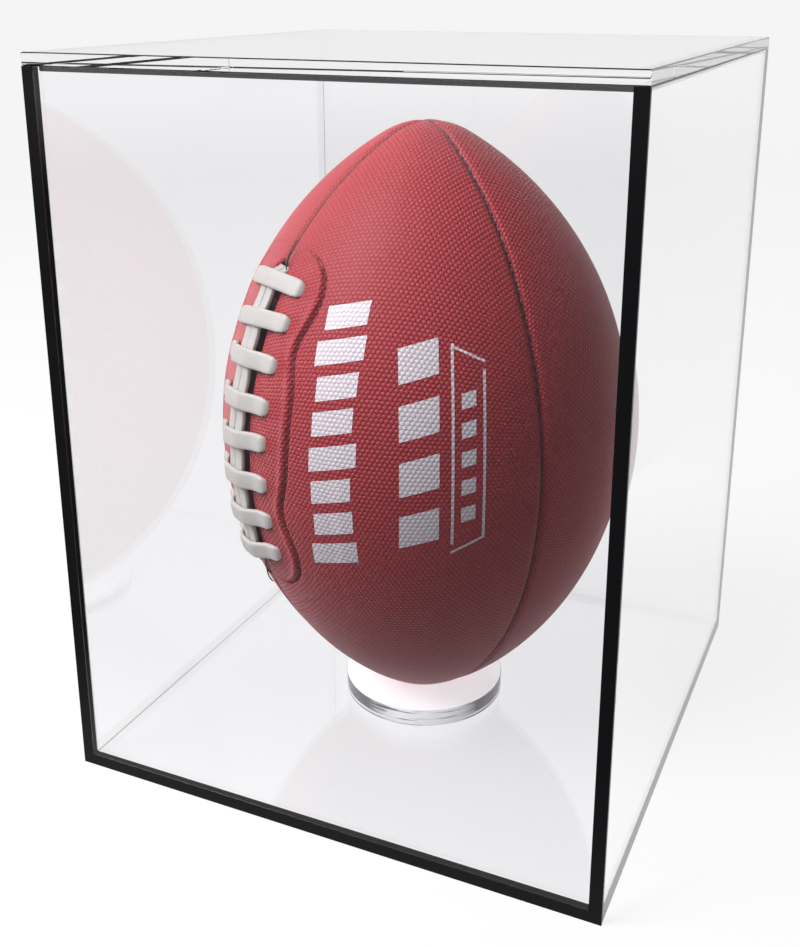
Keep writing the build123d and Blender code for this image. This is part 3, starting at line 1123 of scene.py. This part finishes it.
@dataclass
class Football:
    """The ball: four pebbled panels, laces, printed marks, seam thread and the valve."""

    shape: BallShape
    lacing: Lacing = field(default_factory=Lacing)
    rows: int = 400
    columns: int = 190
    shell: float = 3.0 * MM
    seam_depth: float = 1.1 * MM
    seam_width: float = 1.5 * MM
    seam_line: float = 0.7 * MM
    pillow: float = 0.5 * MM
    pillow_reach: float = 40.0 * MM
    sewn_depth: float = 1.2 * MM
    sewn_width: float = 0.9 * MM
    sewn_line: float = 0.55 * MM
    ridge_height: float = 0.6 * MM
    ridge_width: float = 1.6 * MM
    ridge_inset: float = 2.6 * MM
    facing_fade: float = 2.0 * MM
    facing_reach: float = 60.0 * MM
    smallest_radius: float = 5.0 * MM
    rolled_depth: float = 0.7 * MM
    rolled_width: float = 0.8 * MM
    pole_start: float = 0.5 * MM
    pole_end: float = 6.0 * MM
    thread_pitch: float = 4.2 * MM
    thread_stitch: float = 2.6 * MM
    thread_radius: float = 0.32 * MM
    thread_arch: float = 0.25 * MM
    thread_pole_gap: float = 9.0 * MM
    facing_pitch: float = 3.6 * MM
    facing_stitch_depth: float = 0.95 * MM
    facing_stitch_arch: float = 0.2 * MM
    facing_end_gap: float = 1.5 * MM
    loose_radius: float = 0.3 * MM
    loose_gap: float = 5.0 * MM
    loose_height: float = 0.5 * MM
    marks_middle: float = 19.0 * MM
    ink_thickness: float = 0.08 * MM
    ink_points: float = 1.4
    lace_around: int = 20
    pieces: list[bpy.types.Object] = field(default_factory=list)

    def build(self) -> None:
        """Builds and dresses every piece of the ball."""
        leather = PebbledLeather().material("pebbled_oxblood_leather")
        ink = PrintInk().material("pale_print_ink")
        lace = FlatLace().material("white_flat_lace")
        thread = MatteSoft((0.13, 0.024, 0.028, 1.0), roughness=0.75, grain=3000.0).material("seam_thread")
        loose = MatteSoft((0.05, 0.045, 0.04, 1.0), roughness=0.6, grain=3000.0).material("dark_loose_thread")
        for panel in Panel:
            self.build_panel(panel, leather)
        self.build_cross_laces(lace)
        self.build_long_laces(lace)
        self.build_seam_thread(thread)
        self.build_loose_ends(loose)
        self.build_marks(ink)
        self.dress_inside()

    def keep(self, piece: bpy.types.Object, slot: Slot, *nodes: str) -> bpy.types.Object:
        """Lets a piece ride on the ball and stand for nodes.

        Args:
            piece: the piece.
            slot: the record's slot of its finish; not used.
            nodes: the nodes that it stands for, if any.

        Returns:
            The same piece.
        """
        if nodes:
            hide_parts(*nodes)
        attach(piece, Body.BALL.value)
        self.pieces.append(piece)
        log.info("%s: %d faces", piece.name, len(piece.data.polygons))
        return piece

    def relief(self, along: Array, to_seam: Array, from_lacing: Array) -> tuple[Array, Array]:
        """Height of the cover over the plain outline, and how deep in a groove it lies.

        A seam is a groove of the form -depth exp(-(d / width)^2), and the panel between two seams swells a
        little, by pillow times the square root of its share of the way to the middle. The facing's sewn edge
        is a like groove that follows the facing's line, with a low ridge on its lacing side.

        Args:
            along: way along the outline.
            to_seam: distance to the nearest seam.
            from_lacing: distance from the lace seam, large away from it.

        Returns:
            The heights, and the strength from 0 to 1 of the painted shade in the grooves.
        """
        seam = np.exp(-((to_seam / self.seam_width) ** 2))
        swell = self.pillow * np.sqrt(np.clip(to_seam / self.pillow_reach, 0.0, 1.0))
        beyond = from_lacing - self.lacing.groove_line(along)
        from_end = self.lacing.facing_half - np.abs(along - self.lacing.offset)
        present = smooth_step(from_end, 0.0, self.facing_fade)
        sewn = present * np.exp(-((beyond / self.sewn_width) ** 2))
        ridge = present * np.exp(-(((beyond + self.ridge_inset) / self.ridge_width) ** 2))
        height = swell - self.seam_depth * seam - self.sewn_depth * sewn + self.ridge_height * ridge
        # painted shade: darkest along the seam lines and the facing's sewn edge
        dark = np.exp(-((to_seam / self.seam_line) ** 2))
        dark = dark + present * np.exp(-((beyond / self.sewn_line) ** 2))
        return height, np.clip(dark, 0.0, 1.0)

    def build_panel(self, panel: Panel, leather: bpy.types.Material) -> bpy.types.Object:
        """Builds one panel as a closed shell.

        The outer surface runs over the way along the outline and the azimuth from the panel's first seam to
        its second. Beside the lacing its edge keeps clear of the slit. The inner surface is the same, one
        shell thickness further in, and the rim joins them.

        Args:
            panel: which panel.
            leather: its finish.

        Returns:
            The panel.
        """
        shape, lacing = self.shape, self.lacing
        span = QUARTER
        start = shape.lace_azimuth + panel.value * span
        way = np.linspace(-1.0, 1.0, self.rows)
        along = shape.half_arc * (0.25 * np.sin(way * QUARTER) + 0.75 * way)[:, None]
        out, _ = shape.profile(along)
        slit = lacing.slit_width(along) / np.maximum(out, self.smallest_radius)
        first = slit if panel is Panel.FRONT else 0.0 * along
        last = span - (slit if panel is Panel.LEFT else 0.0 * along)
        t = np.linspace(0.0, 1.0, self.columns)[None, :]
        eased = t - 0.1 * np.sin(TURN * t) / math.pi
        turn = first + (last - first) * eased
        seam = out * np.minimum(turn, span - turn)
        from_lacing = np.full(turn.shape, 1.0)
        if panel is Panel.FRONT:
            from_lacing = out * turn
        if panel is Panel.LEFT:
            from_lacing = out * (span - turn)
        beside_slit = (lacing.slit_width(along) > 1.0 * MM) & (from_lacing < self.facing_reach)
        seam = np.where(beside_slit, seam + 20.0 * MM, seam)
        from_slit = (from_lacing - lacing.slit_width(along)) / self.rolled_width
        rolled = np.where(beside_slit, np.exp(-(from_slit**2)), 0.0)
        height, groove = self.relief(along, seam, from_lacing)
        height = height - self.rolled_depth * rolled
        fade = smooth_step(out, self.pole_start, self.pole_end)
        outer = shape.place(along, start + turn, height * fade)
        inner = shape.place(along, start + turn, -self.shell + 0.0 * turn)
        uv = shape.panel_uv(along + 0.0 * turn, turn - span / 2.0)
        rows, columns = self.rows, self.columns
        points = np.concatenate([outer.reshape(-1, 3), inner.reshape(-1, 3)])
        pattern = np.concatenate([uv.reshape(-1, 2)] * 2)
        sheet = grid_faces(rows, columns)
        under = sheet[:, ::-1] + rows * columns
        edge = np.arange(rows - 1) * columns
        left = np.stack([edge, edge + columns, edge + columns + rows * columns, edge + rows * columns], -1)
        right = (left + columns - 1)[:, ::-1]
        faces = np.concatenate([sheet, under, left, right])
        name = f"ball_panel_{panel.name.lower()}"
        piece = mesh_piece(f"{name}_cover", points, faces, pattern)
        # stores the grooves' painted shade for the leather's material
        strength = piece.data.attributes.new("groove", "FLOAT", "POINT")
        strength.data.foreach_set("value", np.concatenate([groove.ravel()] * 2).astype(np.float32))
        close_poles(piece)
        dress(piece, leather)
        return self.keep(piece, Slot.COVER, name)

    def stitch_path(self, steps: int) -> tuple[Array, Array]:
        """Middle line of a cross stitch across the seam, and up from the plain surface's tangent plane.

        From the middle it runs level over the strands, then falls along a smooth step to the panel, and turns
        down into its hole along a quarter circle.

        Args:
            steps: number of points.

        Returns:
            Distances across and up.
        """
        lacing = self.lacing
        over = lacing.standoff + lacing.thickness * 1.5 + lacing.clearance
        bend, leg = lacing.stitch_bend, lacing.stitch_leg
        t = np.linspace(-1.0, 1.0, steps)
        across = np.sign(t) * np.minimum(np.abs(t) / (1.0 - leg), 1.0) * (lacing.half_span - bend)
        sag = across**2 / (2.0 * self.shape.radius)
        rest = lacing.rest_height
        fall = smooth_step(np.abs(across), lacing.fall_start, lacing.fall_end)
        level = rest + (over - rest) * (1.0 - fall)
        turn = np.clip((np.abs(t) - (1.0 - leg)) / leg, 0.0, 1.0) * QUARTER
        across = across + np.sign(t) * bend * np.sin(turn)
        up = level - sag - bend * (1.0 - np.cos(turn)) - lacing.stitch_tuck * smooth_step(turn, 0.8, 1.6)
        return across, up

    def build_cross_laces(self, lace: bpy.types.Material) -> bpy.types.Object:
        """Builds the cross stitches as flat laces with rounded edges.

        The section is a superellipse, (cos, sin) of an angle raised to a power, and it is carried along the
        stitch's middle line, drawn in to a round end by the square root of 1 - 0.9t^2. Each stitch leans and
        shifts a little, by a fixed sine of its number.

        Args:
            lace: their finish.

        Returns:
            One piece with all stitches.
        """
        lacing, shape = self.lacing, self.shape
        steps, around = 61, self.lace_around
        across, up = self.stitch_path(steps)
        step_across, step_up = np.gradient(across), np.gradient(up)
        length = np.hypot(step_across, step_up)
        normal = np.stack([-step_up / length, step_across / length], -1)
        way = np.cumsum(length)
        left = np.minimum(way - way[0], way[-1] - way)
        to_end = np.clip(1.0 - left / lacing.stitch_rounding, 0.0, 1.0)
        narrowing = np.sqrt(1.0 - 0.9 * to_end**2)
        wide, thick = flat_section(lacing.width, lacing.thickness, 0.5, around)
        azimuth = shape.lace_azimuth
        sideways = np.array([-math.sin(azimuth), math.cos(azimuth), 0.0])
        all_points, all_faces, all_uv = [], [], []
        for number in range(lacing.stitch_count):
            along = lacing.offset + (number - (lacing.stitch_count - 1) / 2.0) * lacing.pitch
            wobble = math.sin(2.3 * number + 0.7)
            centre = shape.place(np.array(along), np.array(azimuth))
            rise = along / shape.side_radius
            level = math.cos(rise)
            outwards = np.array([math.cos(azimuth) * level, math.sin(azimuth) * level, math.sin(rise)])
            upwards = np.cross(outwards, sideways)
            lean = lacing.lean + lacing.lean_wobble * wobble
            swing = lacing.swing * math.sin(4.1 * number + 0.3)
            middle = across[:, None, None] * sideways + up[:, None, None] * outwards
            middle = middle + (np.tan(lean) * across + swing)[:, None, None] * upwards
            face = normal[:, 0, None, None] * sideways + normal[:, 1, None, None] * outwards
            ring = (
                centre
                + middle
                + (wide[None, :] * narrowing[:, None])[..., None] * upwards
                + thick[None, :, None] * face
            )
            points = capped(ring)
            uv_way = np.concatenate([way[:1], way, way[-1:]])
            uv = np.stack(np.broadcast_arrays(uv_way[:, None], wide[None, :]), -1)
            all_faces.append(grid_faces(steps + 2, around, wrap=True) + number * (steps + 2) * around)
            all_points.append(points.reshape(-1, 3))
            all_uv.append(uv.reshape(-1, 2))
        points, faces, uv = (np.concatenate(part) for part in (all_points, all_faces, all_uv))
        piece = mesh_piece("cross_stitch_laces", points, faces, uv)
        close_poles(piece)
        dress(piece, lace)
        return self.keep(piece, Slot.LACE, "cross_laces")

    def build_long_laces(self, lace: bpy.types.Material) -> bpy.types.Object:
        """Builds the two strands that run along the slit, with rounded edges and a dip between stitches.

        The section is the same superellipse as the stitches'. It follows the outline at a height that falls a
        little, by a cosine, halfway between stitches, and its ends dive under the first and last stitch.

        Args:
            lace: their finish.

        Returns:
            One piece with both strands.
        """
        lacing, shape = self.lacing, self.shape
        steps, around = 241, self.lace_around
        half = lacing.length / 2.0 + lacing.strand_overrun
        way = np.linspace(-half, half, steps)
        along = way + lacing.offset
        dip = lacing.strand_dip * (1.0 + np.cos(TURN * way / lacing.pitch)) / 2.0
        ends = smooth_step(np.abs(way), half - lacing.strand_dive_way, half) * lacing.strand_dive
        height = lacing.standoff + lacing.thickness / 2.0 - dip - ends
        wide, thick = flat_section(lacing.strand_width, lacing.thickness, 0.55, around)
        all_points, all_faces, all_uv = [], [], []
        for number, side in enumerate((-1.0, 1.0)):
            centre = side * (lacing.strand_gap + lacing.strand_width) / 2.0
            sway = lacing.strand_sway * np.sin(way / lacing.sway_length + side)
            across = centre + sway[:, None] + wide[None, :]
            azimuth = shape.lace_azimuth + across / shape.radius
            points = shape.place(along[:, None] + 0.0 * across, azimuth, height[:, None] + thick[None, :])
            points = capped(points)
            uv_way = np.concatenate([way[:1], way, way[-1:]])
            uv = np.stack(np.broadcast_arrays(uv_way[:, None], wide[None, :]), -1)
            all_faces.append(grid_faces(steps + 2, around, wrap=True) + number * (steps + 2) * around)
            all_points.append(points.reshape(-1, 3))
            all_uv.append(uv.reshape(-1, 2))
        points, faces, uv = (np.concatenate(part) for part in (all_points, all_faces, all_uv))
        piece = mesh_piece("long_lace_strands", points, faces, uv)
        close_poles(piece)
        dress(piece, lace)
        return self.keep(piece, Slot.LACE, "long_laces")

    def thread_runs(
        self, name: str, lines: Sequence[Array], radius: float, around: int = 8
    ) -> bpy.types.Object:
        """Builds short round threads along lines of points.

        A circle is carried along each line, square to its direction, and drawn in to a point at both ends.

        Args:
            name: the piece's name.
            lines: one n x 3 array of places per thread.
            radius: the thread's radius.
            around: points round the section.

        Returns:
            One piece with all threads.
        """
        angle = np.linspace(0.0, TURN, around, endpoint=False)
        points, faces, count = [], [], 0
        for line in lines:
            ahead = np.gradient(line, axis=0)
            ahead /= np.linalg.norm(ahead, axis=1, keepdims=True)
            out = line - self.shape.centre
            side = np.cross(ahead, out)
            side /= np.linalg.norm(side, axis=1, keepdims=True)
            over = np.cross(side, ahead)
            share = np.linspace(-1.0, 1.0, len(line))
            thin = radius * np.sqrt(np.clip(1.0 - share**6, 0.0, 1.0))
            ring = (
                line[:, None]
                + thin[:, None, None] * np.cos(angle)[None, :, None] * side[:, None]
                + thin[:, None, None] * np.sin(angle)[None, :, None] * over[:, None]
            )
            faces.append(grid_faces(len(line), around, wrap=True) + count)
            points.append(ring.reshape(-1, 3))
            count += ring.shape[0] * around
        piece = mesh_piece(name, np.concatenate(points), np.concatenate(faces))
        close_poles(piece)
        return piece

    def build_seam_thread(self, thread: bpy.types.Material) -> bpy.types.Object:
        """Builds the short stitches that show in the seams and along the facing's sewn edge.

        A stitch is a low arch: its height over the groove follows the cosine of its share of the way.

        Args:
            thread: their finish.

        Returns:
            One piece with all stitches.
        """
        shape, lacing = self.shape, self.lacing
        lines = []
        pitch, stitch = self.thread_pitch, self.thread_stitch
        piece_of_way = np.linspace(-0.5, 0.5, 7) * stitch
        reach = shape.half_arc - self.thread_pole_gap
        bare = lacing.length / 2.0 + lacing.slit_overrun + stitch
        for seam in range(len(Panel)):
            for middle in np.arange(-reach, reach, pitch):
                if seam == 0 and abs(middle - lacing.offset) < bare:
                    continue
                along = middle + piece_of_way
                azimuth = np.full(along.shape, shape.lace_azimuth + seam * QUARTER)
                arch = -self.seam_depth + self.thread_arch * np.cos(piece_of_way / stitch * math.pi)
                lines.append(shape.place(along, azimuth, arch))
        half = lacing.facing_half - self.facing_end_gap
        for side in (-1.0, 1.0):
            for middle in np.arange(-half, half, self.facing_pitch):
                along = lacing.offset + middle + piece_of_way * 0.8
                out, _ = shape.profile(along)
                azimuth = shape.lace_azimuth + side * lacing.groove_line(along) / out
                rise = self.facing_stitch_arch * np.cos(piece_of_way / stitch * math.pi)
                arch = -self.facing_stitch_depth + rise
                lines.append(shape.place(along, azimuth, arch + self.pillow))
        piece = self.thread_runs("seam_and_facing_thread", lines, self.thread_radius)
        dress(piece, thread)
        return self.keep(piece, Slot.COVER)

    def build_loose_ends(self, thread: bpy.types.Material) -> bpy.types.Object:
        """Builds the short loose thread ends above and below the lacing.

        Each end bows sideways and lifts off the cover along sines of its share of the way.

        Args:
            thread: their finish.

        Returns:
            One piece with all ends.
        """
        shape, lacing = self.shape, self.lacing
        lines = []
        way = np.linspace(0.0, 1.0, 24)
        for sign in (-1.0, 1.0):
            for strand, (reach, bow, lift) in enumerate(((13.0, 1.4, 2.6), (9.0, -1.8, 1.4))):
                start = lacing.offset + sign * (lacing.length / 2.0 + self.loose_gap)
                along = start + sign * reach * MM * way
                azimuth = shape.lace_azimuth + (6.0 + strand + bow * np.sin(3.0 * way)) * MM / shape.radius
                height = self.loose_height + lift * MM * np.sin(way * math.pi * 0.8)
                lines.append(shape.place(along, azimuth, height))
        piece = self.thread_runs("loose_thread_ends", lines, self.loose_radius)
        dress(piece, thread)
        return self.keep(piece, Slot.LACE)

    def build_marks(self, ink: bpy.types.Material) -> None:
        """Prints plain geometric marks on the front panel: a column of blocks, and bars beside a thin frame.

        Args:
            ink: their finish.
        """
        middle = self.marks_middle
        widths = [17.0 + 3.0 * (i % 3 == 0) for i in range(8)]
        column = [Block(-47.5 + 13.6 * i, 0.6 * (i % 2), 9.4, widths[i], 0.25) for i in range(8)]
        self.print_blocks("block_column_print", column, math.radians(35.0), middle, ink)
        bold = [Block(-32.0 + 21.5 * i, -8.0, 13.5, 15.0, 0.3) for i in range(4)]
        thin = [
            Block(0.0, 4.5, 78.0, 1.1, 0.0),
            Block(-4.0, 16.5, 66.0, 1.1, 0.0),
            Block(-39.5, 10.5, 1.1, 13.0, 0.5),
            Block(35.0, 10.5, 1.1, 13.0, -0.5),
        ]
        thin += [Block(-26.0 + 11.0 * i, 10.5, 6.0, 5.5, 0.25) for i in range(5)]
        self.print_blocks("bars_and_frame_print", bold + thin, math.radians(63.0), middle, ink)

    def print_blocks(
        self, name: str, blocks: Sequence[Block], turn: float, middle: float, ink: bpy.types.Material
    ) -> bpy.types.Object:
        """Lays slanted blocks of ink on the front panel.

        A block is a parallelogram in the panel's own coordinates: its place across is u times its width, and
        its place along is v times its height plus its slant times the place across.

        Args:
            name: the piece's name.
            blocks: the blocks.
            turn: azimuth from the lace seam to the blocks' middle line.
            middle: way along the outline to the blocks' middle.
            ink: their finish.

        Returns:
            One piece with all blocks.
        """
        shape, span = self.shape, QUARTER
        points, faces, pattern, count = [], [], [], 0
        for block in blocks:
            rows = max(4, int(block.height * self.ink_points))
            columns = max(4, int(block.width * self.ink_points))
            v, u = np.meshgrid(np.linspace(-0.5, 0.5, rows), np.linspace(-0.5, 0.5, columns), indexing="ij")
            along = middle + (block.along + v * block.height + block.slant * u * block.width) * MM
            out, _ = shape.profile(along)
            azimuth = turn + (block.across + u * block.width) * MM / out
            height, _ = self.relief(along, out * np.minimum(azimuth, span - azimuth), out * azimuth)
            lifted = shape.place(along, shape.lace_azimuth + azimuth, height + self.ink_thickness)
            points.append(lifted.reshape(-1, 3))
            pattern.append(shape.panel_uv(along, azimuth - span / 2.0).reshape(-1, 2))
            faces.append(grid_faces(rows, columns) + count)
            count += rows * columns
        piece = mesh_piece(name, np.concatenate(points), np.concatenate(faces), np.concatenate(pattern))
        dress(piece, ink)
        return self.keep(piece, Slot.COVER)

    def dress_inside(self) -> None:
        """Gives the tongue, bladder and valve their own finishes."""
        tongue = MatteSoft((0.075, 0.05, 0.05, 1.0), roughness=0.75, grain=700.0)
        rubber = MatteSoft((0.03, 0.03, 0.032, 1.0), roughness=0.6, grain=400.0)
        dress(frame["nodes"]["lace_tongue"], tongue.material("dark_tongue_leather"))
        dress(frame["nodes"]["ball_bladder"], rubber.material("black_bladder_rubber"))
        dress(frame["nodes"]["ball_valve"], rubber.material("black_valve_rubber"))


# ---------------------------------------------------------------------- the studio
@dataclass
class SoftBox:
    """A rectangular studio light."""

    name: str
    place: tuple[float, float, float]
    size: tuple[float, float]
    watts: float
    color: tuple[float, float, float] = (1.0, 1.0, 1.0)

    def build(self, target: Array) -> bpy.types.Object:
        """Hangs the light and turns it to the target.

        Args:
            target: the place that it shines at.

        Returns:
            The light.
        """
        data = bpy.data.lights.new(self.name, "AREA")
        data.shape = "RECTANGLE"
        data.size, data.size_y = self.size
        data.energy = self.watts
        data.color = self.color
        lamp = bpy.data.objects.new(self.name, data)
        lamp.location = self.place
        lamp.visible_camera = lamp.visible_transmission = False
        away = Vector([float(v) for v in np.array(self.place) - target])
        lamp.rotation_euler = away.to_track_quat("Z", "Y").to_euler()
        bpy.context.scene.collection.objects.link(lamp)
        return lamp


@dataclass
class Studio:
    """Pale floor, soft lights, bright surroundings and the camera."""

    floor_radius: float = 1.7
    bend_radius: float = 1.3
    camera_place: tuple[float, float, float] = (0.1943, -0.4620, 0.3237)
    camera_azimuth: float = math.radians(-24.58)
    camera_pitch: float = math.radians(17.11)
    camera_roll: float = math.radians(-0.09)
    lens: float = 45.39
    shift: tuple[float, float] = (0.001, -0.1304)
    sky: Color = (0.97, 0.97, 0.98, 1.0)
    ambient: Color = (0.2, 0.2, 0.21, 1.0)

    def build(self, pieces: Sequence[bpy.types.Object]) -> None:
        """Builds the whole studio.

        Args:
            pieces: the pieces that the rim and ball lights shine on, and on nothing else.
        """
        scene = bpy.context.scene
        scene.view_settings.view_transform = "Standard"
        scene.view_settings.look = "None"
        self.build_floor()
        self.build_world()
        self.build_camera()
        target = np.array([0.0, 0.0, 0.15])
        SoftBox("key_softbox", (-0.7, -0.75, 1.1), (0.7, 0.7), 24.0).build(target)
        rim = SoftBox("rim_softbox", (-0.9, 0.1, 0.12), (0.3, 0.6), 9.0).build(target)
        fill = SoftBox("ball_softbox", (-0.46, -0.34, 1.1), (0.5, 0.5), 10.5).build(target)
        lit = bpy.data.collections.new("lit_pieces")
        for piece in pieces:
            lit.objects.link(piece)
        for lamp in (rim, fill):
            lamp.light_linking.receiver_collection = lit

    def build_floor(self) -> bpy.types.Object:
        """Lays a large round floor under the case, which bends up all round into a low wall.

        The section is flat to the floor's radius, and then a quarter circle, turned about the upright axis.

        Returns:
            The floor.
        """
        bend = np.linspace(0.0, QUARTER, 25)
        out = np.concatenate([[0.0, 0.4, 1.0], self.floor_radius + self.bend_radius * np.sin(bend)])
        up = np.concatenate([[0.0, 0.0, 0.0], self.bend_radius * (1.0 - np.cos(bend))]) - 0.02 * MM
        turn = np.linspace(0.0, TURN, 97)
        points = np.stack(
            [np.outer(np.cos(turn), out), np.outer(np.sin(turn), out), np.broadcast_to(up, (97, len(up)))], -1
        )
        floor = mesh_piece("studio_floor", points.reshape(-1, 3), grid_faces(97, len(out))[:, ::-1])
        dress(floor, StudioFloor().material("pale_studio_floor"))
        return floor

    def build_world(self) -> None:
        """Surrounds the case with a bright sky that lights it only softly."""
        world = bpy.data.worlds.new("soft_studio")
        bpy.context.scene.world = world
        world.use_nodes = True
        tree = world.node_tree
        tree.nodes.clear()
        output = tree.nodes.new("ShaderNodeOutputWorld")
        backdrop = tree.nodes.new("ShaderNodeBackground")
        path = tree.nodes.new("ShaderNodeLightPath")
        lighting = tree.nodes.new("ShaderNodeMix")
        lighting.data_type = "RGBA"
        lighting.inputs[6].default_value = self.sky
        lighting.inputs[7].default_value = self.ambient
        tree.links.new(path.outputs["Is Diffuse Ray"], lighting.inputs[0])
        tree.links.new(lighting.outputs[2], backdrop.inputs["Color"])
        tree.links.new(backdrop.outputs[0], output.inputs["Surface"])

    def build_camera(self) -> bpy.types.Object:
        """Sets up the camera from its azimuth, pitch and roll.

        Returns:
            The camera.
        """
        data = bpy.data.cameras.new("studio_camera")
        data.lens = self.lens
        data.shift_x, data.shift_y = self.shift
        data.clip_start, data.clip_end = 0.01, 50.0
        camera = bpy.data.objects.new("studio_camera", data)
        turn = Matrix.Rotation(-self.camera_azimuth, 4, "Z")
        tilt = Matrix.Rotation(QUARTER - self.camera_pitch, 4, "X")
        roll = Matrix.Rotation(self.camera_roll, 4, "Z")
        camera.matrix_world = Matrix.Translation(self.camera_place) @ turn @ tilt @ roll
        bpy.context.scene.collection.objects.link(camera)
        bpy.context.scene.camera = camera
        return camera


def main() -> None:
    """Builds the studio, the case, the lid and the football."""
    logging.basicConfig(level=logging.INFO, format="%(name)s: %(message)s")
    black = GlossBlack().material("gloss_black_edging")
    DisplayCase().build(black)
    Lid().build(black)
    ball = Football(BallShape())
    ball.build()
    Studio().build([piece for piece in ball.pieces if "lace" not in piece.name])


if __name__ == "__main__":
    main()
